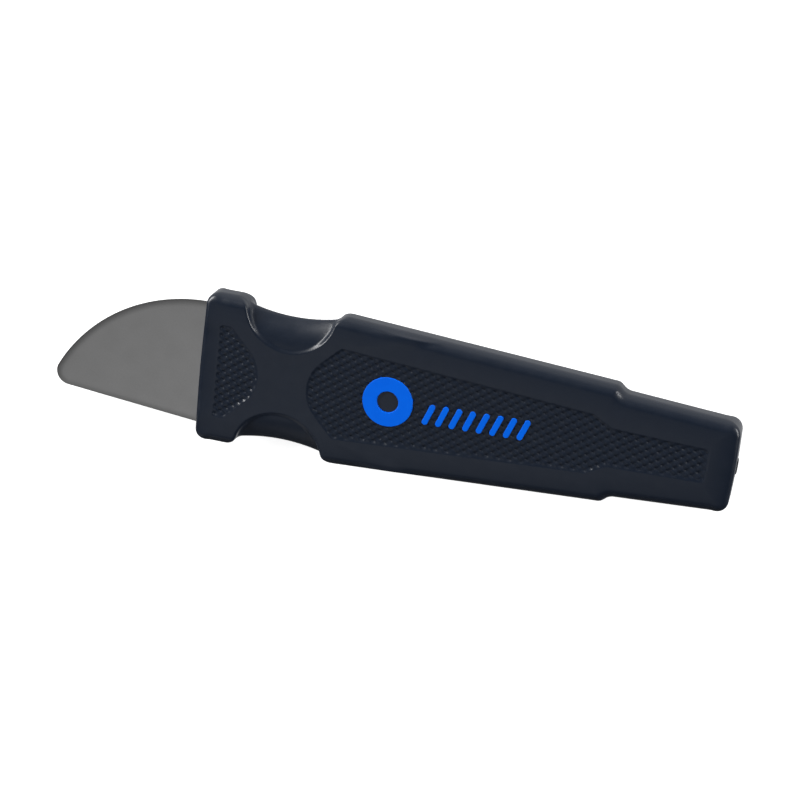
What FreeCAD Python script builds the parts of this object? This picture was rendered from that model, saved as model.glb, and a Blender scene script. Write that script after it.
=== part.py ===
import FreeCAD, Part
import math
import os

# Flexible-blade opening tool, lying flat.
# Frame: millimetres, +Z up, long axis along X, blade towards -X, butt towards +X.
# Origin: the middle of the bounding box, on the surface that the tool lies on.

# ---- driving dimensions ----
HANDLE_LENGTH = 114.1        # collar front to butt
COLLAR_WIDTH = 33.2
THICKNESS = 7.4
EDGE_ROUND = 2.3             # rounding along the rim of both faces
DATUM_X = -40.0              # a line just behind the collar front, in the frame
MID_Z = THICKNESS / 2

# outline of the handle; every "at" is measured back from the datum line
FRONT_AT = -0.8
BUTT_AT = FRONT_AT + HANDLE_LENGTH
SHOULDER_AT = 25.0           # where the grip's straight sides start, inside the notch
SHOULDER_WIDTH = 33.5
STEP_AT = 87.3               # where the grip drops to the tail
STEP_RUN = 1.7
STEP_TOP_WIDTH = 25.7
STEP_FOOT_WIDTH = 22.7
BUTT_WIDTH = 19.5
BOW = 0.3                    # how far the two ends bulge
FRONT_BOW_RADIUS = 300.0
BUTT_BOW_RADIUS = 120.0
COLLAR_CORNER = 3.0
BUTT_CORNER = 3.0
STEP_TOP_ROUND = 3.0
STEP_FOOT_ROUND = 2.5

# thumb scallops: round notches in both edges, with a thin waist left in them
SCALLOP_AT = 18.0
SCALLOP_RADIUS = 9.3
SCALLOP_CENTRE_Y = 16.4
RIDGE_Y = 13.85              # the waist's thin edge, at its narrowest
RIDGE_RADIUS = 37.0          # of that edge, seen from above
RIDGE_HALF = 0.25            # half the waist's thickness at its edge
WAIST_ARC_RADIUS = 5.9       # crown of the waist, seen from the end
WAIST_EDGE_SLOPE = 60.0      # degrees, at the thin edge
WAIST_INNER_SLOPE = -8.0     # degrees, at the foot of the notch wall
WAIST_OVERLAP = 2.0          # how far the waist runs on under the face
WAIST_HALF_TURN = 15.5       # degrees each side, into the collar and the shoulder

# sunken panels on both faces
PANEL_DEPTH = 0.45
PANEL_ROUND = 0.8
PANEL_BOW_RADIUS = 8.5       # of the bowed end beside the scallops
COLLAR_PANEL_FRONT = 3.1
COLLAR_PANEL_BACK = 12.35
COLLAR_PANEL_HALF = 10.3
MAIN_PANEL_FRONT = 23.0
MAIN_PANEL_HALF = 10.15
MAIN_PANEL_STEP_AT = 83.3
MAIN_PANEL_STEP_HALF = 6.5
MAIN_PANEL_TAIL_AT = 87.6
MAIN_PANEL_TAIL_HALF = 4.25
MAIN_PANEL_BACK = 107.5
MAIN_PANEL_BACK_HALF = 3.65

# blue inlays
INLAY_DEPTH = 1.0
INLAY_TOP_Z = THICKNESS - 0.05
INLAY_EDGE = 0.15
BADGE_AT = 40.6
BADGE_Y = 0.4
BADGE_RADIUS = 5.4
BADGE_HOLE_RADIUS = 2.3
BAR_COUNT = 8
BAR_FIRST_AT = 49.5
BAR_LAST_AT = 69.6
BAR_FIRST_Y = -0.65
BAR_LAST_Y = 0.05
BAR_LENGTH = 4.9
BAR_WIDTH = 1.25
BAR_SLANT = 20.0             # degrees from straight across

# blade
BLADE_THICKNESS = 0.5
SPINE_CENTRE_AT = -0.3       # the curved edge is one arc
SPINE_CENTRE_Y = -23.3
SPINE_RADIUS = 36.9
EDGE_ROOT_Y = -13.75         # the straight edge, at the datum line
EDGE_SLOPE = -0.088
TIP_ROUND = 3.0
ROOT_DEPTH = 6.0             # full-width root inside the collar
ROOT_WIDTH = 26.0
TANG_END_AT = 50.0
TANG_WIDTH = 9.0
TANG_HOLE_AT = (28.0, 42.0)
TANG_HOLE_RADIUS = 2.2

# rigid core
CORE_THICKNESS = 3.8
CORE_FRONT_AT = 1.5
CORE_HEAD_END_AT = 7.4
CORE_HEAD_WIDTH = 28.4
CORE_WAIST_WIDTH = 12.2
CORE_BODY_AT = 29.0
CORE_INSET = 1.9             # rubber thickness beside the core
CORE_END_AT = 110.8
STUB_WIDTH = 3.0
STUB_HEIGHT = 2.2
STUB_PROUD = 0.2
STUB_ROUND = 0.4

Z_AXIS = FreeCAD.Vector(0, 0, 1)
TINY = 1e-4


def point(at, y, z=0.0):
    """A point given by its distance behind the datum line."""
    return FreeCAD.Vector(DATUM_X + at, y, z)


def rounded_wire(corners):
    """A closed outline through (at, y, corner radius), with an arc at each rounded corner."""
    count = len(corners)
    places = [point(at, y) for at, y, radius in corners]
    ends = []
    for i in range(count):
        here = places[i]
        back = (places[i - 1] - here).normalize()
        ahead = (places[(i + 1) % count] - here).normalize()
        radius = corners[i][2]
        half_angle = back.getAngle(ahead) / 2
        if radius == 0:
            ends.append((here, here, here))
            continue
        reach = radius / math.tan(half_angle)
        middle = (back + ahead).normalize()
        crown = here + middle * (radius / math.sin(half_angle) - radius)
        ends.append((here + back * reach, crown, here + ahead * reach))
    edges = []
    for i in range(count):
        start, crown, end = ends[i]
        if (start - end).Length > TINY:
            edges.append(Part.Arc(start, crown, end).toShape())
        next_start = ends[(i + 1) % count][0]
        if (next_start - end).Length > TINY:
            edges.append(Part.LineSegment(end, next_start).toShape())
    return Part.Wire(edges)


def plate(corners, low_z, height):
    """A flat solid of that outline."""
    face = Part.Face(rounded_wire(corners))
    face.translate(Z_AXIS * low_z)
    return face.extrude(Z_AXIS * height)


def mirrored(corners):
    """The +Y half of an outline, from front to back, closed by its mirror image."""
    lower = [(at, -y, radius) for at, y, radius in reversed(corners) if abs(y) > TINY]
    return corners + lower


def width_at(at):
    """Half the handle's width behind the shoulder."""
    if at <= STEP_AT:
        share = (at - SHOULDER_AT) / (STEP_AT - SHOULDER_AT)
        return (SHOULDER_WIDTH + share * (STEP_TOP_WIDTH - SHOULDER_WIDTH)) / 2
    foot = STEP_AT + STEP_RUN
    share = (at - foot) / (BUTT_AT - foot)
    return (STEP_FOOT_WIDTH + share * (BUTT_WIDTH - STEP_FOOT_WIDTH)) / 2


def flat_edges(solid, heights):
    """The edges that lie wholly at one of those heights."""
    found = []
    for edge in solid.Edges:
        box = edge.BoundBox
        if box.ZLength < TINY and any(abs(box.ZMin - z) < TINY for z in heights):
            found.append(edge)
    return found


def handle_blank():
    """The outside of the handle before the scallops: a plate with rounded rims."""
    side = [
        (FRONT_AT, 0.0, FRONT_BOW_RADIUS),
        (FRONT_AT + BOW, COLLAR_WIDTH / 2, COLLAR_CORNER),
        (SHOULDER_AT, SHOULDER_WIDTH / 2, 0.0),
        (STEP_AT, STEP_TOP_WIDTH / 2, STEP_TOP_ROUND),
        (STEP_AT + STEP_RUN, STEP_FOOT_WIDTH / 2, STEP_FOOT_ROUND),
        (BUTT_AT - BOW, BUTT_WIDTH / 2, BUTT_CORNER),
        (BUTT_AT, 0.0, BUTT_BOW_RADIUS),
    ]
    blank = plate(mirrored(side), 0.0, THICKNESS)
    return blank.makeFillet(EDGE_ROUND, flat_edges(blank, (0.0, THICKNESS)))


def waist_section():
    """Half a section of the waist, from its thin edge inwards, along +Y from the ridge."""
    slope = math.radians(WAIST_EDGE_SLOPE)
    inner = math.radians(WAIST_INNER_SLOPE)
    centre_y = WAIST_ARC_RADIUS * math.sin(slope)
    centre_z = RIDGE_HALF - WAIST_ARC_RADIUS * math.cos(slope)

    def on_arc(angle):
        y = centre_y - WAIST_ARC_RADIUS * math.sin(angle)
        z = centre_z + WAIST_ARC_RADIUS * math.cos(angle)
        return y, z

    return [on_arc(slope), on_arc((slope + inner) / 2), on_arc(inner)]


def waist(side):
    """The thin saddle that fills the lower part of one scallop."""
    axis_y = RIDGE_Y + RIDGE_RADIUS
    edge, crown, foot = waist_section()

    def place(step, sign):
        return point(SCALLOP_AT, RIDGE_Y - step[0], MID_Z + sign * step[1])

    deep = (foot[0] + WAIST_OVERLAP, foot[1])
    upper = [place(step, 1) for step in (edge, crown, foot, deep)]
    lower = [place(step, -1) for step in (edge, crown, foot, deep)]
    section = Part.Face(Part.Wire([
        Part.Arc(upper[0], upper[1], upper[2]).toShape(),
        Part.LineSegment(upper[2], upper[3]).toShape(),
        Part.LineSegment(upper[3], lower[3]).toShape(),
        Part.LineSegment(lower[3], lower[2]).toShape(),
        Part.Arc(lower[2], lower[1], lower[0]).toShape(),
        Part.LineSegment(lower[0], upper[0]).toShape(),
    ]))
    pivot = point(SCALLOP_AT, axis_y)
    section.rotate(pivot, Z_AXIS, -WAIST_HALF_TURN)
    saddle = section.revolve(pivot, Z_AXIS, 2 * WAIST_HALF_TURN)
    if side < 0:
        saddle = saddle.mirror(point(0, 0), FreeCAD.Vector(0, 1, 0))
    return saddle


def handle_outside():
    """The blank with its scallops."""
    body = handle_blank()
    for side in (1, -1):
        notch = Part.makeCylinder(SCALLOP_RADIUS, 3 * THICKNESS,
                                  point(SCALLOP_AT, side * SCALLOP_CENTRE_Y, -THICKNESS))
        body = body.cut(notch)
    return body.fuse([waist(1), waist(-1)]).removeSplitter()


def collar_panel():
    """Outline of the panel on the collar: square in front, bowed towards the scallops."""
    flank = PANEL_BOW_RADIUS / math.sqrt(2)
    centre = COLLAR_PANEL_BACK - PANEL_BOW_RADIUS
    tangent_at = centre + flank
    corner_at = tangent_at - (COLLAR_PANEL_HALF - flank)
    apex_at = tangent_at + flank
    return mirrored([
        (COLLAR_PANEL_FRONT, COLLAR_PANEL_HALF, PANEL_ROUND),
        (corner_at, COLLAR_PANEL_HALF, PANEL_ROUND),
        (apex_at, 0.0, PANEL_BOW_RADIUS),
    ])


def main_panel():
    """Outline of the long panel: bowed in front, with a step that follows the handle's."""
    flank = PANEL_BOW_RADIUS / math.sqrt(2)
    centre = MAIN_PANEL_FRONT + PANEL_BOW_RADIUS
    tangent_at = centre - flank
    corner_at = tangent_at + (MAIN_PANEL_HALF - flank)
    apex_at = tangent_at - flank
    return mirrored([
        (apex_at, 0.0, PANEL_BOW_RADIUS),
        (corner_at, MAIN_PANEL_HALF, PANEL_ROUND),
        (MAIN_PANEL_STEP_AT, MAIN_PANEL_STEP_HALF, PANEL_ROUND),
        (MAIN_PANEL_TAIL_AT, MAIN_PANEL_TAIL_HALF, PANEL_ROUND),
        (MAIN_PANEL_BACK, MAIN_PANEL_BACK_HALF, PANEL_ROUND),
    ])


def panel_cuts():
    """The shallow recesses in the two faces."""
    cuts = []
    for outline in (collar_panel(), main_panel()):
        cuts.append(plate(outline, -1.0, 1.0 + PANEL_DEPTH))
        cuts.append(plate(outline, THICKNESS - PANEL_DEPTH, 1.0 + PANEL_DEPTH))
    return cuts


def badge_ring():
    """The round inlay: a disc with a plain round opening."""
    low_z = INLAY_TOP_Z - INLAY_DEPTH
    disc = Part.makeCylinder(BADGE_RADIUS, INLAY_DEPTH, point(BADGE_AT, BADGE_Y, low_z))
    hole = Part.makeCylinder(BADGE_HOLE_RADIUS, INLAY_DEPTH, point(BADGE_AT, BADGE_Y, low_z))
    ring = disc.cut(hole)
    return ring.makeFillet(INLAY_EDGE, flat_edges(ring, (INLAY_TOP_Z,)))


def mark_bar(number):
    """One slanted inlay bar with round ends; number counts from 0 at the badge."""
    share = number / (BAR_COUNT - 1)
    at = BAR_FIRST_AT + share * (BAR_LAST_AT - BAR_FIRST_AT)
    y = BAR_FIRST_Y + share * (BAR_LAST_Y - BAR_FIRST_Y)
    low_z = INLAY_TOP_Z - INLAY_DEPTH
    half = (BAR_LENGTH - BAR_WIDTH) / 2
    radius = BAR_WIDTH / 2
    left_low = FreeCAD.Vector(-radius, -half, 0)
    left_high = FreeCAD.Vector(-radius, half, 0)
    right_low = FreeCAD.Vector(radius, -half, 0)
    right_high = FreeCAD.Vector(radius, half, 0)
    outline = Part.Wire([
        Part.LineSegment(left_low, left_high).toShape(),
        Part.Arc(left_high, FreeCAD.Vector(0, half + radius, 0), right_high).toShape(),
        Part.LineSegment(right_high, right_low).toShape(),
        Part.Arc(right_low, FreeCAD.Vector(0, -half - radius, 0), left_low).toShape(),
    ])
    bar = Part.Face(outline).extrude(Z_AXIS * INLAY_DEPTH)
    bar.rotate(FreeCAD.Vector(0, 0, 0), Z_AXIS, -BAR_SLANT)
    bar.translate(point(at, y, low_z))
    return bar.makeFillet(INLAY_EDGE, flat_edges(bar, (INLAY_TOP_Z,)))


def blade():
    """The exposed blade, its root in the collar and its tang with two lock holes."""
    low_z = MID_Z - BLADE_THICKNESS / 2
    reach = 2 * SPINE_RADIUS
    blank = plate([
        (0.0, EDGE_ROOT_Y, 0.0),
        (0.0, reach, 0.0),
        (-reach, reach, 0.0),
        (-reach, EDGE_ROOT_Y - EDGE_SLOPE * reach, 0.0),
    ], low_z, BLADE_THICKNESS)
    spine = Part.makeCylinder(SPINE_RADIUS, BLADE_THICKNESS,
                              point(SPINE_CENTRE_AT, SPINE_CENTRE_Y, low_z))
    exposed = blank.common(spine)
    tip = min(exposed.Edges, key=lambda edge: edge.BoundBox.XMax)
    exposed = exposed.makeFillet(TIP_ROUND, [tip])
    root = plate(mirrored([
        (0.0, ROOT_WIDTH / 2, 0.0),
        (ROOT_DEPTH, ROOT_WIDTH / 2, 1.5),
        (ROOT_DEPTH, TANG_WIDTH / 2, 1.5),
        (TANG_END_AT, TANG_WIDTH / 2, 2.0),
    ]), low_z, BLADE_THICKNESS)
    whole = exposed.fuse(root).removeSplitter()
    for at in TANG_HOLE_AT:
        whole = whole.cut(Part.makeCylinder(TANG_HOLE_RADIUS, BLADE_THICKNESS, point(at, 0, low_z)))
    return whole


def core_blank():
    """The rigid core before the blade is let into it, with the stub that shows at the butt."""
    low_z = MID_Z - CORE_THICKNESS / 2
    body = plate(mirrored([
        (CORE_FRONT_AT, CORE_HEAD_WIDTH / 2, 1.0),
        (CORE_HEAD_END_AT, CORE_HEAD_WIDTH / 2, 1.0),
        (CORE_HEAD_END_AT, CORE_WAIST_WIDTH / 2, 1.0),
        (CORE_BODY_AT, CORE_WAIST_WIDTH / 2, 1.5),
        (CORE_BODY_AT, width_at(CORE_BODY_AT) - CORE_INSET, 2.0),
        (STEP_AT - CORE_INSET, width_at(STEP_AT) - CORE_INSET, 1.0),
        (STEP_AT, width_at(STEP_AT + STEP_RUN) - CORE_INSET, 1.0),
        (CORE_END_AT, width_at(CORE_END_AT) - CORE_INSET, 2.0),
    ]), low_z, CORE_THICKNESS)
    stub_length = BUTT_AT + STUB_PROUD - CORE_END_AT
    stub = Part.makeBox(stub_length, STUB_WIDTH, STUB_HEIGHT,
                        point(CORE_END_AT, -STUB_WIDTH / 2, MID_Z - STUB_HEIGHT / 2))
    end_x = DATUM_X + BUTT_AT + STUB_PROUD
    rim = [edge for edge in stub.Edges if edge.BoundBox.XMin > end_x - TINY]
    return body.fuse(stub.makeFillet(STUB_ROUND, rim)).removeSplitter()


def grip_sleeve(core, steel, inlays):
    """The soft overmould: the outside shape less everything that sits in it."""
    sleeve = handle_outside()
    for cut in panel_cuts():
        sleeve = sleeve.cut(cut)
    for inlay in inlays:
        sleeve = sleeve.cut(inlay)
    return sleeve.cut(core).cut(steel)


def save(name, shape):
    """Writes one node and says how large it is."""
    solid_count = len(shape.Solids)
    box = shape.BoundBox
    print(f"{name:14s} solids {solid_count} volume {shape.Volume:9.2f} valid {shape.isValid()} "
          f"x {box.XMin:.2f} {box.XMax:.2f} y {box.YMin:.2f} {box.YMax:.2f} "
          f"z {box.ZMin:.2f} {box.ZMax:.2f}")
    shape.exportStep(os.path.join("parts", name + ".step"))


def main():
    os.makedirs("parts", exist_ok=True)
    steel = blade()
    core = core_blank()
    ring = badge_ring()
    bars = [mark_bar(number) for number in range(BAR_COUNT)]
    save("grip_sleeve", grip_sleeve(core, steel, [ring] + bars))
    save("blade", steel)
    save("handle_core", core.cut(steel))
    save("badge_ring", ring)
    for number, bar in enumerate(bars, start=1):
        save(f"mark_bar_{number}", bar)


main()
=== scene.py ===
import math

import bmesh
import bpy
import numpy as np
from mathutils import Matrix, Vector
from mathutils.geometry import delaunay_2d_cdt


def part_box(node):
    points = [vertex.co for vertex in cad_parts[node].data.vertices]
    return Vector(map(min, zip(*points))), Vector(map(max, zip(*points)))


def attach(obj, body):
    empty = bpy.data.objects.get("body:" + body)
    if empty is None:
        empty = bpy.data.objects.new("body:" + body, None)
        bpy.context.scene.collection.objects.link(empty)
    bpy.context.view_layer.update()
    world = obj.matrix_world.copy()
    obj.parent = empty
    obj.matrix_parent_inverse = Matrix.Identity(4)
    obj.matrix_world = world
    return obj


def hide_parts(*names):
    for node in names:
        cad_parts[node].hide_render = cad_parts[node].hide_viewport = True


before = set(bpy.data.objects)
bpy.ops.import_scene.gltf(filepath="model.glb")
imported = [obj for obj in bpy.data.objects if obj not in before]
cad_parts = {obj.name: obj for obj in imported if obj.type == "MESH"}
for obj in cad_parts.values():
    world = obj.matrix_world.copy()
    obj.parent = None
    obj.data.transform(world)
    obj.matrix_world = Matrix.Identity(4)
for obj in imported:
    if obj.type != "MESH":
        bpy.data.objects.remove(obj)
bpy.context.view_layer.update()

# The spudger tool's looks. The shapes below are worked out in millimetres, in the part's own
# frame, and go to Blender in metres.
MM = 0.001


def box_mm(node):
    """A CAD node's lowest and highest corners, in millimetres."""
    low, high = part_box(node)
    return np.array(low) / MM, np.array(high) / MM


SLEEVE_LOW, SLEEVE_HIGH = box_mm("grip_sleeve")
BLADE_LOW, BLADE_HIGH = box_mm("blade")
BADGE_LOW, BADGE_HIGH = box_mm("badge_ring")
THICKNESS = SLEEVE_HIGH[2] - SLEEVE_LOW[2]
MID_Z = SLEEVE_LOW[2] + THICKNESS / 2
DATUM_X = -40.0                      # a line just behind the collar front; "at" starts here

# ---- camera ----
CAMERA_AT = (84.7, 154.45, 417.0)
CAMERA_FORWARD = (-0.18326, -0.34399, -0.92092)
CAMERA_RIGHT = (0.96478, 0.11691, -0.23565)
LENS_MM = 96.67
SENSOR_MM = 36.0
CLIP_START_M = 0.01

# ---- handle outline: the CAD sleeve's, with slightly sharper corners ----
FRONT_AT = -0.5                      # the collar's corners
SHOULDER_AT = 25.0                   # where the straight sides start
STEP_TOP_AT = 87.3                   # where the grip drops to the tail
STEP_FOOT_AT = 89.0
BUTT_AT = 113.0                      # the butt's corners
BOW = 0.3                            # how far the two ends bulge between their corners
COLLAR_HALF = 16.6
SHOULDER_HALF = 16.75
STEP_TOP_HALF = 12.85
STEP_FOOT_HALF = 11.35
BUTT_HALF = 9.75
COLLAR_CORNER = 2.6
STEP_TOP_ROUND = 1.7
STEP_FOOT_ROUND = 2.5
BUTT_CORNER = 2.9
FRONT_BOW_RADIUS = 300.0
BUTT_BOW_RADIUS = 120.0

# ---- rims of the two faces ----
EDGE_ROUND = 2.3                     # along the sides
END_EDGE_ROUND = 0.9                 # along the front and the butt, where the rim is sharper
END_TAPER = 4.0                      # the rim changes over this distance from an end
CROWN = 0.5                          # how far the faces fall towards the outline
CROWN_WIDTH = 6.5                    # over this distance

# ---- thumb scallops, with a thin waist left in them ----
SCALLOP_X = DATUM_X + 18.0
SCALLOP_RADIUS = 9.3
SCALLOP_CENTRE_Y = 16.4
NOTCH_EDGE_ROUND = 0.8               # along the edge of a scallop, at the face
NOTCH_CORNER = 3.0                   # and down the side wall, where the scallop meets it
RIDGE_Y = 13.85                      # the waist's thin edge, at its narrowest
RIDGE_RADIUS = 37.0                  # of that edge, seen from above
RIDGE_HALF = 0.25                    # half the waist's thickness at its edge
WAIST_RADIUS = 8.8                   # crown of the waist, seen from the end
WAIST_EDGE_SLOPE = math.radians(50.0)
WAIST_EDGE_ROUND = 0.3
WAIST_INSET = 0.7                    # how far the waist stays inside the handle's outline
WAIST_FILLET = 0.6                   # where the waist meets the notch wall

# ---- sunken panels on both faces ----
PANEL_WALL = 0.4                     # width of the slope around a panel
PANEL_ROUND = 0.8
PANEL_BOW_RADIUS = 8.5               # of the bowed end beside the scallops
COLLAR_PANEL_FRONT = 3.1
COLLAR_PANEL_BACK = 12.35
COLLAR_PANEL_HALF = 10.3
MAIN_PANEL_FRONT = 23.0
MAIN_PANEL_HALF = 10.15
MAIN_PANEL_STEP_AT = 83.3
MAIN_PANEL_STEP_HALF = 6.5
MAIN_PANEL_TAIL_AT = 87.6
MAIN_PANEL_TAIL_HALF = 4.25
MAIN_PANEL_BACK = 107.5
MAIN_PANEL_BACK_HALF = 3.65


# ---------------------------------------------------------------- outlines

ARC_POINTS = 10                      # steps in the arc at each rounded corner


def rounded_outline(corners):
    """Points along a closed outline of (at, y, radius) corners; at is behind the datum line."""
    places = [Vector((DATUM_X + at, y)) for at, y, radius in corners]
    points = []
    for i, here in enumerate(places):
        radius = corners[i][2]
        if radius == 0:
            points.append(here)
            continue
        back = (places[i - 1] - here).normalized()
        ahead = (places[(i + 1) % len(places)] - here).normalized()
        half = back.angle(ahead) / 2
        centre = here + (back + ahead).normalized() * (radius / math.sin(half))
        start = here + back * (radius / math.tan(half)) - centre
        end = here + ahead * (radius / math.tan(half)) - centre
        turn = start.angle_signed(end)
        for step in range(ARC_POINTS + 1):
            angle = -turn * step / ARC_POINTS
            spun = Vector((start.x * math.cos(angle) - start.y * math.sin(angle),
                           start.x * math.sin(angle) + start.y * math.cos(angle)))
            points.append(centre + spun)
    return np.array([tuple(p) for p in points])


def mirrored(corners):
    """The +Y half of an outline, closed by its mirror image."""
    return corners + [(at, -y, r) for at, y, r in reversed(corners) if y != 0]


def handle_outline():
    return rounded_outline(mirrored([
        (FRONT_AT - BOW, 0.0, FRONT_BOW_RADIUS),
        (FRONT_AT, COLLAR_HALF, COLLAR_CORNER),
        (SHOULDER_AT, SHOULDER_HALF, 0.0),
        (STEP_TOP_AT, STEP_TOP_HALF, STEP_TOP_ROUND),
        (STEP_FOOT_AT, STEP_FOOT_HALF, STEP_FOOT_ROUND),
        (BUTT_AT, BUTT_HALF, BUTT_CORNER),
        (BUTT_AT + BOW, 0.0, BUTT_BOW_RADIUS),
    ]))


def bowed(bow_at, sign, half):
    """Where a panel's bowed end has its two corners, and where its 45 degree flanks would meet,
    if the bow at bow_at didn't round them off."""
    flank = PANEL_BOW_RADIUS / math.sqrt(2)
    tangent_at = bow_at + sign * (PANEL_BOW_RADIUS - flank)
    return tangent_at + sign * (half - flank), tangent_at - sign * flank


def collar_panel():
    corner_at, apex_at = bowed(COLLAR_PANEL_BACK, -1, COLLAR_PANEL_HALF)
    return rounded_outline(mirrored([
        (COLLAR_PANEL_FRONT, COLLAR_PANEL_HALF, PANEL_ROUND),
        (corner_at, COLLAR_PANEL_HALF, PANEL_ROUND),
        (apex_at, 0.0, PANEL_BOW_RADIUS),
    ]))


def main_panel():
    corner_at, apex_at = bowed(MAIN_PANEL_FRONT, 1, MAIN_PANEL_HALF)
    return rounded_outline(mirrored([
        (apex_at, 0.0, PANEL_BOW_RADIUS),
        (corner_at, MAIN_PANEL_HALF, PANEL_ROUND),
        (MAIN_PANEL_STEP_AT, MAIN_PANEL_STEP_HALF, PANEL_ROUND),
        (MAIN_PANEL_TAIL_AT, MAIN_PANEL_TAIL_HALF, PANEL_ROUND),
        (MAIN_PANEL_BACK, MAIN_PANEL_BACK_HALF, PANEL_ROUND),
    ]))


# ---------------------------------------------------------------- distance fields

TINY = 1e-12                         # keeps a division by an edge of no length finite


def outline_distance(points, x, y):
    """Signed distance from each (x, y) to a closed outline: negative inside."""
    nearest = np.full(x.shape, np.inf)
    inside = np.zeros(x.shape, bool)
    for a, b in zip(points, np.roll(points, -1, axis=0)):
        edge = b - a
        length_squared = max(edge @ edge, TINY)
        dx, dy = x - a[0], y - a[1]
        share = np.clip((dx * edge[0] + dy * edge[1]) / length_squared, 0, 1)
        nearest = np.minimum(nearest, (dx - share * edge[0]) ** 2 + (dy - share * edge[1]) ** 2)
        crosses = (a[1] > y) != (b[1] > y)
        if edge[1] != 0:
            inside ^= crosses & (x < a[0] + edge[0] * (y - a[1]) / edge[1])
    return np.where(inside, -1.0, 1.0) * np.sqrt(nearest)


def round_max(a, b, radius):
    """Where two shapes overlap, with their common edge rounded."""
    inner = np.minimum(-radius, np.maximum(a, b))
    corner = np.hypot(np.maximum(a + radius, 0), np.maximum(b + radius, 0))
    return inner + corner


def round_min(a, b, radius):
    """Two shapes joined, with a fillet between them."""
    return -round_max(-a, -b, radius)


def eased(share):
    """0 below 0, 1 above 1, and a smooth rise between."""
    share = np.clip(share, 0, 1)
    return share ** 2 * (3 - 2 * share)


# ---------------------------------------------------------------- surface from a field

def surface_nets(field, origin, step):
    """The zero surface of a field sampled on a grid: one vertex per mixed cell, quads between."""
    inside = field < 0
    cells = tuple(n - 1 for n in field.shape)
    total = np.zeros((3, cells[0] * cells[1] * cells[2]))
    count = np.zeros(total.shape[1])
    crossings = []
    for axis in range(3):
        here = [slice(None)] * 3
        there = [slice(None)] * 3
        here[axis], there[axis] = slice(0, -1), slice(1, None)
        here, there = tuple(here), tuple(there)
        at = np.array(np.nonzero(inside[here] != inside[there]))
        first, second = field[here][tuple(at)], field[there][tuple(at)]
        place = at.astype(float)
        place[axis] += first / (first - second)
        others = [(axis + 1) % 3, (axis + 2) % 3]
        ring = []
        for down_a, down_b in ((1, 1), (0, 1), (0, 0), (1, 0)):
            cell = at.copy()
            cell[others[0]] -= down_a
            cell[others[1]] -= down_b
            ring.append(np.ravel_multi_index(tuple(cell), cells))
        for index in ring:
            for i in range(3):
                total[i] += np.bincount(index, place[i], total.shape[1])
            count += np.bincount(index, minlength=total.shape[1])
        quads = np.array(ring).T
        outward = inside[here][tuple(at)]
        quads[~outward] = quads[~outward][:, ::-1]
        crossings.append(quads)
    used = np.flatnonzero(count)
    number = np.zeros(total.shape[1], int)
    number[used] = np.arange(len(used))
    points = (total[:, used] / count[used]).T * step + origin
    return points, number[np.concatenate(crossings)]


def sample(grid, points, origin, step):
    """A grid's value at each point, interpolated between its eight neighbours."""
    place = (points - origin) / step
    low = np.clip(np.floor(place).astype(int), 0, np.array(grid.shape) - 2)
    part = place - low
    value = np.zeros(len(points))
    for corner in range(8):
        bits = np.array([corner & 1, (corner >> 1) & 1, (corner >> 2) & 1])
        weight = np.prod(np.where(bits, part, 1 - part), axis=1)
        value += weight * grid[tuple((low + bits).T)]
    return value


def read(items, what, width):
    """One attribute of a mesh's vertices, loops or faces, a row for each."""
    values = np.zeros(len(items) * width)
    items.foreach_get(what, values)
    return values.reshape(-1, width)


def mesh_object(name, points, faces, material):
    """A smooth-shaded object from points in millimetres and faces of one size."""
    mesh = bpy.data.meshes.new(name)
    corners = faces.shape[1]
    mesh.vertices.add(len(points))
    mesh.vertices.foreach_set("co", (points * MM).astype(np.float32).ravel())
    mesh.loops.add(faces.size)
    mesh.loops.foreach_set("vertex_index", faces.astype(np.int32).ravel())
    mesh.polygons.add(len(faces))
    mesh.polygons.foreach_set("loop_start", np.arange(0, faces.size, corners, dtype=np.int32))
    mesh.update(calc_edges=True)
    mesh.validate()
    mesh.shade_smooth()
    mesh.materials.append(material)
    piece = bpy.data.objects.new(name, mesh)
    bpy.context.scene.collection.objects.link(piece)
    return piece


# ---------------------------------------------------------------- materials

NOISE_LOW = 0.3                      # a noise texture's values mostly lie between these
NOISE_HIGH = 0.7


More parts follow.
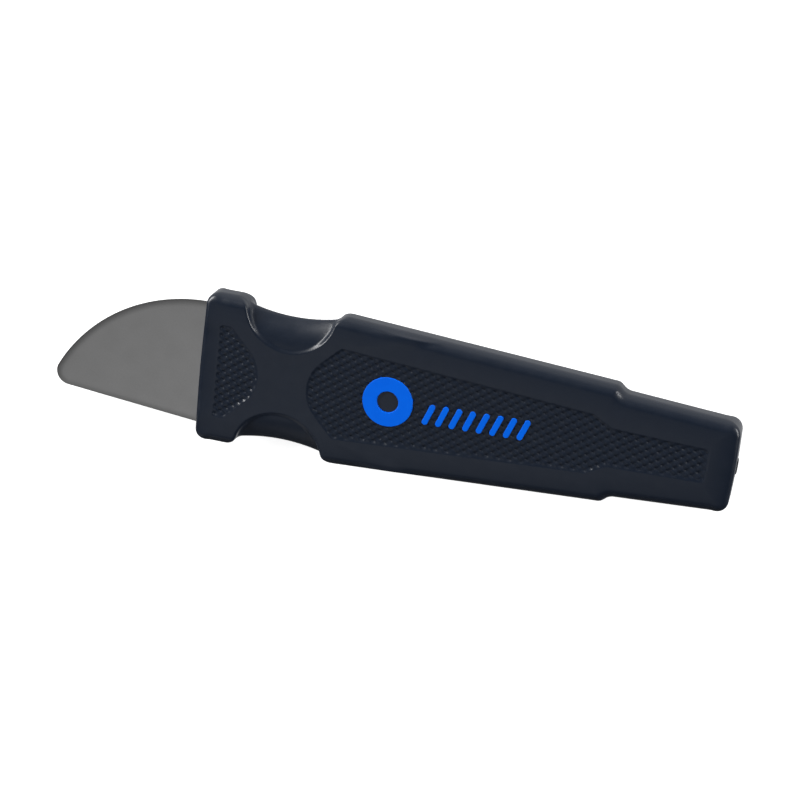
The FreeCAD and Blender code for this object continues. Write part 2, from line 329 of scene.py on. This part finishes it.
class Nodes:
    """A material's node tree, with short ways to add a node and join two sockets."""

    def __init__(self, name):
        self.material = bpy.data.materials.new(name)
        self.material.use_nodes = True
        self.tree = self.material.node_tree
        self.shader = self.tree.nodes["Principled BSDF"]

    def add(self, kind):
        return self.tree.nodes.new(kind)

    def join(self, source, target):
        self.tree.links.new(source, target)

    def fix(self, socket, value):
        """One value all over the surface, on the shader's own socket."""
        self.shader.inputs[socket].default_value = value

    def noise(self, scale, detail=2.0, roughness=0.5):
        """Noise over the object's own coordinates; scale is in waves per metre."""
        where = self.add("ShaderNodeTexCoord").outputs["Object"]
        texture = self.add("ShaderNodeTexNoise")
        texture.inputs["Scale"].default_value = scale
        texture.inputs["Detail"].default_value = detail
        texture.inputs["Roughness"].default_value = roughness
        self.join(where, texture.inputs["Vector"])
        return texture.outputs["Fac"]

    def roughness(self, source, low, high):
        """A roughness from low to high, by the middle range of source."""
        ranged = self.add("ShaderNodeMapRange")
        ranged.inputs["From Min"].default_value = NOISE_LOW
        ranged.inputs["From Max"].default_value = NOISE_HIGH
        ranged.inputs["To Min"].default_value = low
        ranged.inputs["To Max"].default_value = high
        self.join(source, ranged.inputs["Value"])
        self.join(ranged.outputs["Result"], self.shader.inputs["Roughness"])

    def colours(self, source, low, high):
        """A colour between low and high, by source."""
        mix = self.add("ShaderNodeMix")
        mix.data_type = "RGBA"
        mix.inputs["A"].default_value = (*low, 1)
        mix.inputs["B"].default_value = (*high, 1)
        self.join(source, mix.inputs["Factor"])
        self.join(mix.outputs["Result"], self.shader.inputs["Base Color"])

    def bump(self, source, height_mm, strength):
        """A fine grain of that height, by source."""
        bump = self.add("ShaderNodeBump")
        bump.inputs["Distance"].default_value = height_mm * MM
        bump.inputs["Strength"].default_value = strength
        self.join(source, bump.inputs["Height"])
        self.join(bump.outputs["Normal"], self.shader.inputs["Normal"])


def rubber():
    """Satin navy-black rubber with a fine moulded grain and slight handling marks."""
    n = Nodes("grip_rubber")
    n.colours(n.noise(260, detail=3.0), (0.0045, 0.0088, 0.0185), (0.0060, 0.0108, 0.0220))
    n.roughness(n.noise(420, detail=4.0), 0.29, 0.36)
    n.bump(n.noise(5200, roughness=0.6), height_mm=0.012, strength=0.5)
    return n.material


def steel():
    """Tumbled spring steel: a fine even grain with soft tone changes."""
    n = Nodes("blade_steel")
    n.colours(n.noise(2600, detail=4.0, roughness=0.7), (0.55, 0.55, 0.552), (0.63, 0.63, 0.632))
    n.roughness(n.noise(300, detail=3.0), 0.37, 0.39)
    n.bump(n.noise(6500, roughness=0.6), height_mm=0.006, strength=0.4)
    n.fix("Metallic", 1.0)
    return n.material


def blue_plastic():
    """Bright blue moulded plastic with a faint grain."""
    n = Nodes("mark_blue")
    n.colours(n.noise(500), (0.0, 0.115, 0.74), (0.0, 0.135, 0.82))
    n.roughness(n.noise(700), 0.46, 0.54)
    n.bump(n.noise(5200), height_mm=0.008, strength=0.4)
    n.fix("Specular IOR Level", 0.1)
    return n.material


def core_plastic():
    """Hard black plastic with a faint grain."""
    n = Nodes("core_plastic")
    n.colours(n.noise(300), (0.010, 0.011, 0.014), (0.014, 0.015, 0.019))
    n.roughness(n.noise(600), 0.36, 0.44)
    n.bump(n.noise(4000), height_mm=0.01, strength=0.4)
    return n.material


def floor_white():
    """A matt floor with some light of its own, so that it stays white under the part."""
    n = Nodes("floor_white")
    n.fix("Base Color", (0.9, 0.9, 0.9, 1))
    n.fix("Roughness", 0.9)
    n.fix("Specular IOR Level", 0.0)
    n.fix("Emission Color", (1, 1, 1, 1))
    n.fix("Emission Strength", 0.85)
    return n.material


# ---------------------------------------------------------------- grip

GRID_STEP = 0.2                      # of the grid that the sleeve's surface is found on
GRID_MARGIN = 3 * GRID_STEP          # past the sleeve's box on every side
SETTLE_STEPS = 2                     # times the found points move onto the surface
GRIP_TRIANGLES = 190_000
LEVEL_WITHIN = math.radians(1)       # a larger triangle this near level is shaded flat,
STRAY_PAST = math.radians(15)        # and so is one that turns this far from the field's slope
SMALLEST_SLOPE = 1e-6                # squared; keeps a division by the slope finite

KNURL_LONG = 2.41                    # diamond pitch along the handle
KNURL_SHORT = 1.76                   # and across it
KNURL_TOP = 0.10                     # how far the diamonds stay under the face
GROOVE_HALF = 0.62                   # half a groove's width
GROOVE_DEPTHS = (0.16, 0.10)         # under the diamonds, for each set of grooves
PIT_DEPTH = 0.26                     # and more where two grooves cross
KNURL_FADE = 0.9                     # how far in from the panel's edge the grooves are full
BADGE_FLOOR = 0.45                   # depth of the level floor in the badge ring's opening
BADGE_COVER = 1.6                    # how far in under the ring that floor starts to be level


def in_badge(x, y):
    """1 in the badge ring's opening and some way under the ring, 0 elsewhere."""
    centre = (BADGE_LOW + BADGE_HIGH) / 2
    hidden = (BADGE_HIGH[0] - BADGE_LOW[0]) / 2 - np.hypot(x - centre[0], y - centre[1])
    return eased(hidden / BADGE_COVER)


def knurl_drop(x, y, inside):
    """How far the surface lies under the face, at that distance inside a panel: flat diamonds
    between crossing grooves, two of which cross on the datum line, in the middle."""
    along, across = (x - DATUM_X) / KNURL_LONG, y / KNURL_SHORT
    spacing = 1 / math.hypot(1 / KNURL_LONG, 1 / KNURL_SHORT)
    grooves = []
    for turns in (along + across, along - across):
        off_centre = (0.5 - np.abs(turns % 1.0 - 0.5)) * spacing
        grooves.append(0.5 + 0.5 * np.cos(np.clip(off_centre / GROOVE_HALF, 0, 1) * math.pi))
    first, second = grooves
    cut = np.maximum(first * GROOVE_DEPTHS[0], second * GROOVE_DEPTHS[1])
    cut = cut + PIT_DEPTH * first * second
    return KNURL_TOP * eased(inside / PANEL_WALL) + cut * eased(inside / KNURL_FADE)


def grip_field(x, y, z):
    """Signed distance-like field of the whole grip; x, y, z are the grid's axes."""
    gx, gy = np.meshgrid(x, y, indexing="ij")
    half_height = np.abs(z - MID_Z)[None, None, :]
    outline = outline_distance(handle_outline(), gx, gy)
    panels = np.minimum(outline_distance(collar_panel(), gx, gy),
                        outline_distance(main_panel(), gx, gy))
    side_y = np.abs(gy)
    from_notch = SCALLOP_RADIUS - np.hypot(gx - SCALLOP_X, side_y - SCALLOP_CENTRE_Y)
    inward = np.hypot(gx - SCALLOP_X, side_y - RIDGE_Y - RIDGE_RADIUS) - RIDGE_RADIUS

    from_end = np.minimum(gx - SLEEVE_LOW[0], SLEEVE_HIGH[0] - gx)
    rim_round = END_EDGE_ROUND + (EDGE_ROUND - END_EDGE_ROUND) * eased(from_end / END_TAPER)
    crown = CROWN * np.clip(1 + outline / CROWN_WIDTH, 0, 1) ** 2
    above_face = half_height - (THICKNESS / 2 - crown[:, :, None])
    blank = round_max(outline[:, :, None], above_face, rim_round[:, :, None])
    below_face = eased((THICKNESS / 2 - half_height) / EDGE_ROUND)
    notch_round = NOTCH_EDGE_ROUND + (NOTCH_CORNER - NOTCH_EDGE_ROUND) * below_face
    body = round_max(blank, from_notch[:, :, None], notch_round)

    crown_y = WAIST_RADIUS * math.sin(WAIST_EDGE_SLOPE)
    crown_z = RIDGE_HALF - WAIST_RADIUS * math.cos(WAIST_EDGE_SLOPE)
    waist = np.hypot((inward - crown_y)[:, :, None], half_height - crown_z) - WAIST_RADIUS
    waist = round_max(waist, -inward[:, :, None], WAIST_EDGE_ROUND)
    waist = round_max(waist, (outline + WAIST_INSET)[:, :, None], WAIST_EDGE_ROUND)
    body = round_min(body, waist, WAIST_FILLET)

    drop = knurl_drop(gx, gy, -panels)
    drop_top = drop + (BADGE_FLOOR - drop) * in_badge(gx, gy)
    upper = (z > MID_Z)[None, None, :]
    drop_here = np.where(upper, drop_top[:, :, None], drop[:, :, None])
    return np.maximum(body, half_height - (THICKNESS / 2 - drop_here))


def thinned(piece, share):
    """A piece's mesh, decimated to that share of its triangles."""
    thin = piece.modifiers.new("thin", "DECIMATE")
    thin.ratio = min(1.0, share)
    depsgraph = bpy.context.evaluated_depsgraph_get()
    mesh = bpy.data.meshes.new_from_object(piece.evaluated_get(depsgraph))
    piece.modifiers.clear()
    return mesh


def make_grip(material):
    """The rubber sleeve: its field's surface, thinned, and shaded by the field's slope."""
    start, end = SLEEVE_LOW - GRID_MARGIN, SLEEVE_HIGH + GRID_MARGIN + GRID_STEP
    axes = [np.arange(start[i], end[i], GRID_STEP) for i in range(3)]
    field = grip_field(*axes)
    origin = np.array([axis[0] for axis in axes])
    slopes = np.gradient(field, GRID_STEP)

    def slope_at(places):
        found = np.stack([sample(slope, places, origin, GRID_STEP) for slope in slopes], axis=1)
        return found, np.maximum(np.sum(found ** 2, axis=1, keepdims=True), SMALLEST_SLOPE)

    points, quads = surface_nets(field, origin, GRID_STEP)
    for step in range(SETTLE_STEPS):
        slope, squared = slope_at(points)
        points = points - sample(field, points, origin, GRID_STEP)[:, None] * slope / squared
    grip = mesh_object("grip", points, quads, material)
    mesh = thinned(grip, GRIP_TRIANGLES / (2 * len(quads)))
    grip.data = mesh

    slope, squared = slope_at(read(mesh.vertices, "co", 3) / MM)
    shading = (slope / np.sqrt(squared))[read(mesh.loops, "vertex_index", 1).astype(int).ravel()]
    corners = read(mesh.polygons, "loop_total", 1).astype(int).ravel()
    facing = np.repeat(read(mesh.polygons, "normal", 3), corners, axis=0)
    area = np.repeat(read(mesh.polygons, "area", 1).ravel() / MM ** 2, corners)
    level = np.abs(facing[:, 2]) > math.cos(LEVEL_WITHIN)
    stray = np.sum(shading * facing, axis=1) < math.cos(STRAY_PAST)
    flat = (level | stray) & (area > GRID_STEP ** 2)
    shading[flat] = facing[flat]
    mesh.normals_split_custom_set(shading)
    return grip


# ---------------------------------------------------------------- blade

BLADE_HALF = (BLADE_HIGH[2] - BLADE_LOW[2]) / 2
BLADE_MID_Z = (BLADE_HIGH[2] + BLADE_LOW[2]) / 2
SPINE_CENTRE = Vector((DATUM_X - 0.3, -23.3))      # the curved edge is one arc
SPINE_RADIUS = 36.9
EDGE_ROOT_Y = -13.75                 # the straight edge, at the datum line
EDGE_SLOPE = -0.088
TIP_ROUND = 3.0
EDGE_WIDTH = 1.7                     # width of the soft bevel along the exposed edges
EDGE_FULLNESS = 0.8                  # below 1, the bevel thickens sooner behind the edge
EDGE_RINGS = (0.06, 0.2, 0.4, 0.7, 1.0, 1.35, EDGE_WIDTH)      # lines of points across it
RIM_HALF = 0.07                      # half the thickness left at the very edge
ROOT_DEPTH = 6.0                     # full-width root inside the collar
ROOT_HALF = 13.0
ROOT_CHAMFER = 1.0
TANG_CHAMFER = 1.5                   # between the root and the tang
TANG_HALF = 4.5
TANG_END_AT = 50.0
TANG_END_CHAMFER = 2.0
TANG_HOLE_AT = (28.0, 42.0)
TANG_HOLE_RADIUS = 2.2
SPINE_POINTS = 72
TIP_POINTS = 18
EDGE_POINTS = 32
HOLE_POINTS = 24
BLADE_SHARP = math.radians(35)       # an edge with a larger turn is shaded sharp
INSIDE_ONLY = 1                      # the triangulation's output: faces inside the outline
SAME_POINT = 1e-6


def exposed_edge(inset):
    """The exposed edge from root to tip to root, moved inwards by inset."""
    slope_angle = math.atan(EDGE_SLOPE)
    inner_normal = Vector((-math.sin(slope_angle), math.cos(slope_angle)))
    on_edge = Vector((DATUM_X, EDGE_ROOT_Y)) + inner_normal * TIP_ROUND
    along_edge = Vector((math.cos(slope_angle), math.sin(slope_angle)))
    to_spine = on_edge - SPINE_CENTRE
    reach = SPINE_RADIUS - TIP_ROUND
    half_b = to_spine.dot(along_edge)
    run = -half_b - math.sqrt(half_b ** 2 - to_spine.length_squared + reach ** 2)
    tip_centre = on_edge + along_edge * run
    spine_radius = SPINE_RADIUS - inset
    tip_radius = TIP_ROUND - inset

    def turn(centre, radius, start, end, steps):
        return [centre + Vector((math.cos(a), math.sin(a))) * radius
                for a in np.linspace(start, end, steps)]

    start_y = math.sqrt(spine_radius ** 2 - (DATUM_X - SPINE_CENTRE.x) ** 2)
    start = math.atan2(start_y, DATUM_X - SPINE_CENTRE.x)
    to_tip = tip_centre - SPINE_CENTRE
    meet = math.atan2(to_tip.y, to_tip.x)
    if meet < 0:
        meet += 2 * math.pi
    leave = slope_angle - math.pi / 2 + 2 * math.pi
    points = turn(SPINE_CENTRE, spine_radius, start, meet, SPINE_POINTS)
    points += turn(tip_centre, tip_radius, meet, leave, TIP_POINTS)[1:]
    last = Vector((DATUM_X, EDGE_ROOT_Y)) + inner_normal * inset
    last.y += (DATUM_X - last.x) * EDGE_SLOPE
    last.x = DATUM_X
    first = points[-1]
    points += [first.lerp(last, share) for share in np.linspace(0, 1, EDGE_POINTS)[1:]]
    return points


def blade_height(inset):
    """Half the blade's thickness at that distance from the exposed edge."""
    share = min(inset / EDGE_WIDTH, 1.0)
    return RIM_HALF + (BLADE_HALF - RIM_HALF) * math.sin(share * math.pi / 2) ** EDGE_FULLNESS


def tang_outline():
    """The hidden part, from beside the straight edge round the tang to beside the spine."""
    half = [
        (ROOT_DEPTH - ROOT_CHAMFER, ROOT_HALF),
        (ROOT_DEPTH, ROOT_HALF - ROOT_CHAMFER),
        (ROOT_DEPTH, TANG_HALF + TANG_CHAMFER),
        (ROOT_DEPTH + TANG_CHAMFER, TANG_HALF),
        (TANG_END_AT - TANG_END_CHAMFER, TANG_HALF),
        (TANG_END_AT, TANG_HALF - TANG_END_CHAMFER),
    ]
    there = [Vector((DATUM_X + at, -y)) for at, y in half]
    back = [Vector((DATUM_X + at, y)) for at, y in reversed(half)]
    return there + back


def in_tang_hole(place):
    return any((place - Vector((DATUM_X + at, 0))).length < TANG_HOLE_RADIUS for at in TANG_HOLE_AT)


def make_blade(material):
    """The blade with softly bevelled edges, its root and its tang, as one closed mesh."""
    exposed, hidden = exposed_edge(0.0), tang_outline()
    flat = list(exposed + hidden)
    heights = [blade_height(0.0)] * len(exposed) + [BLADE_HALF] * len(hidden)
    rim = len(flat)
    edges = [(i, (i + 1) % rim) for i in range(rim)]
    for inset in EDGE_RINGS:
        ring = exposed_edge(inset)
        edges += [(len(flat) + i, len(flat) + i + 1) for i in range(len(ring) - 1)]
        flat += ring
        heights += [blade_height(inset)] * len(ring)
    for at in TANG_HOLE_AT:
        edges += [(len(flat) + i, len(flat) + (i + 1) % HOLE_POINTS) for i in range(HOLE_POINTS)]
        flat += [Vector((DATUM_X + at, 0)) + TANG_HOLE_RADIUS * Vector((math.cos(a), math.sin(a)))
                 for a in np.linspace(0, 2 * math.pi, HOLE_POINTS + 1)[:-1]]
        heights += [BLADE_HALF] * HOLE_POINTS
    made = delaunay_2d_cdt(flat, edges, [], INSIDE_ONLY, SAME_POINT)
    places, faces, sources = made[0], made[2], made[3]
    height = [max(heights[i] for i in source) if source else BLADE_HALF for source in sources]

    shape = bmesh.new()
    upper = [shape.verts.new((p.x, p.y, BLADE_MID_Z + h)) for p, h in zip(places, height)]
    lower = [shape.verts.new((p.x, p.y, BLADE_MID_Z - h)) for p, h in zip(places, height)]
    for face in faces:
        middle = sum((places[i] for i in face), Vector((0, 0))) / len(face)
        if not in_tang_hole(middle):
            shape.faces.new([upper[i] for i in face])
            shape.faces.new([lower[i] for i in reversed(face)])
    partner = {u: l for u, l in zip(upper, lower)}
    open_edges = [e for e in shape.edges if e.is_boundary and e.verts[0] in partner]
    for edge in open_edges:
        loop = edge.link_loops[0]
        a, b = loop.vert, loop.link_loop_next.vert
        shape.faces.new([b, a, partner[a], partner[b]])
    bmesh.ops.delete(shape, geom=[v for v in shape.verts if not v.link_faces], context="VERTS")
    bmesh.ops.recalc_face_normals(shape, faces=shape.faces)
    bmesh.ops.scale(shape, vec=(MM, MM, MM), verts=shape.verts)
    mesh = bpy.data.meshes.new("blade_steel")
    shape.to_mesh(mesh)
    shape.free()
    mesh.shade_smooth()
    mesh.set_sharp_from_angle(angle=BLADE_SHARP)
    mesh.materials.append(material)
    piece = bpy.data.objects.new("blade_steel", mesh)
    bpy.context.scene.collection.objects.link(piece)
    return piece


# ---------------------------------------------------------------- scene

ROOM_LEVEL = 0.07                    # an even light from everywhere
# soft lights far away: the direction towards each, the dot products with that direction where
# the light starts and where it is full, and how much it adds
ROOM_LIGHTS = (
    ((-0.20, -0.36, 0.91), 0.93, 1.00, 0.48),      # soft box overhead
    ((0.00, 0.60, -1.00), 0.00, 0.60, 0.65),       # bright ground on the +Y side
    ((0.00, 1.00, 0.00), 0.20, 0.90, 0.15),        # glow beyond it
    ((-0.50, -0.80, 0.31), 0.91, 1.00, 0.40),      # low panel at the front left
)
WHITE_GROUND = 1.0                   # what the camera sees past the floor

# long low lights past the blade and past the butt, which put the light lines on the scallops'
# edges: name, place and size in metres, and watts
SIDE_LIGHTS = (
    ("left", (-0.80, 0.43, 0.43), (0.90, 0.25), 13),
    ("right", (0.86, 0.32, 0.43), (0.85, 0.16), 8),
)

FLOOR_HALF_M = 3.0
FLOOR_GAP = 0.05                     # keeps the floor clear of the underside


def make_floor(material):
    mesh = bpy.data.meshes.new("floor")
    half, z = FLOOR_HALF_M, -FLOOR_GAP * MM
    mesh.from_pydata([(-half, -half, z), (half, -half, z), (half, half, z), (-half, half, z)],
                     [], [(0, 1, 2, 3)])
    mesh.materials.append(material)
    floor = bpy.data.objects.new("floor", mesh)
    floor.visible_glossy = False
    bpy.context.scene.collection.objects.link(floor)


def side_light(name, place, size, watts, receivers):
    """A rectangular light that faces the part's origin."""
    data = bpy.data.lights.new(name, "AREA")
    data.shape = "RECTANGLE"
    data.size, data.size_y = size
    data.energy = watts
    light = bpy.data.objects.new(name, data)
    light.light_linking.receiver_collection = receivers
    light.location = place
    light.rotation_euler = (-Vector(place)).to_track_quat("-Z", "Y").to_euler()
    bpy.context.scene.collection.objects.link(light)


def all_but(piece):
    """The receivers of a light that shines on everything except that piece."""
    receivers = bpy.data.collections.new("all_but_" + piece.name)
    receivers.objects.link(piece)
    receivers.collection_objects[0].light_linking.link_state = "EXCLUDE"
    return receivers


def soft_room():
    """Soft studio light: an even room with ROOM_LIGHTS in it, before a white ground."""
    world = bpy.data.worlds.new("studio")
    bpy.context.scene.world = world
    world.use_nodes = True
    tree = world.node_tree
    background = tree.nodes["Background"]
    background.inputs["Color"].default_value = (1, 1, 1, 1)
    direction = tree.nodes.new("ShaderNodeTexCoord").outputs["Generated"]
    level = None
    for towards, start, full, adds in ROOM_LIGHTS:
        dot = tree.nodes.new("ShaderNodeVectorMath")
        dot.operation = "DOT_PRODUCT"
        dot.inputs[1].default_value = towards
        tree.links.new(direction, dot.inputs[0])
        ranged = tree.nodes.new("ShaderNodeMapRange")
        ranged.interpolation_type = "SMOOTHSTEP"
        ranged.inputs["From Min"].default_value = start
        ranged.inputs["From Max"].default_value = full
        ranged.inputs["To Max"].default_value = adds
        tree.links.new(dot.outputs["Value"], ranged.inputs["Value"])
        total = tree.nodes.new("ShaderNodeMath")
        total.operation = "ADD"
        tree.links.new(ranged.outputs["Result"], total.inputs[0])
        if level:
            tree.links.new(level, total.inputs[1])
        else:
            total.inputs[1].default_value = ROOM_LEVEL
        level = total.outputs["Value"]
    to_camera = tree.nodes.new("ShaderNodeLightPath").outputs["Is Camera Ray"]
    seen = tree.nodes.new("ShaderNodeMix")
    seen.inputs["B"].default_value = WHITE_GROUND
    tree.links.new(to_camera, seen.inputs["Factor"])
    tree.links.new(level, seen.inputs["A"])
    tree.links.new(seen.outputs["Result"], background.inputs["Strength"])


def make_camera():
    data = bpy.data.cameras.new("camera")
    data.lens, data.sensor_width = LENS_MM, SENSOR_MM
    camera = bpy.data.objects.new("camera", data)
    forward, right = Vector(CAMERA_FORWARD), Vector(CAMERA_RIGHT)
    turn = Matrix((right, right.cross(forward), -forward)).transposed()
    camera.matrix_world = Matrix.Translation(Vector(CAMERA_AT) * MM) @ turn.to_4x4()
    data.clip_start = CLIP_START_M
    bpy.context.scene.collection.objects.link(camera)
    bpy.context.scene.camera = camera


grip = make_grip(rubber())
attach(grip, "root")
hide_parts("grip_sleeve")

blade = make_blade(steel())
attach(blade, "root")
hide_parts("blade")

inlay_blue, core_black = blue_plastic(), core_plastic()
for node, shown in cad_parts.items():
    if node in ("grip_sleeve", "blade"):
        continue
    shown.data.materials.clear()
    shown.data.materials.append(core_black if node == "handle_core" else inlay_blue)

make_floor(floor_white())
soft_room()
# the blade would mirror the side lights at low angles, and vanish on the white ground
lit = all_but(blade)
for name, place, size, watts in SIDE_LIGHTS:
    side_light(name, place, size, watts, lit)
make_camera()
bpy.context.scene.view_settings.view_transform = "Standard"
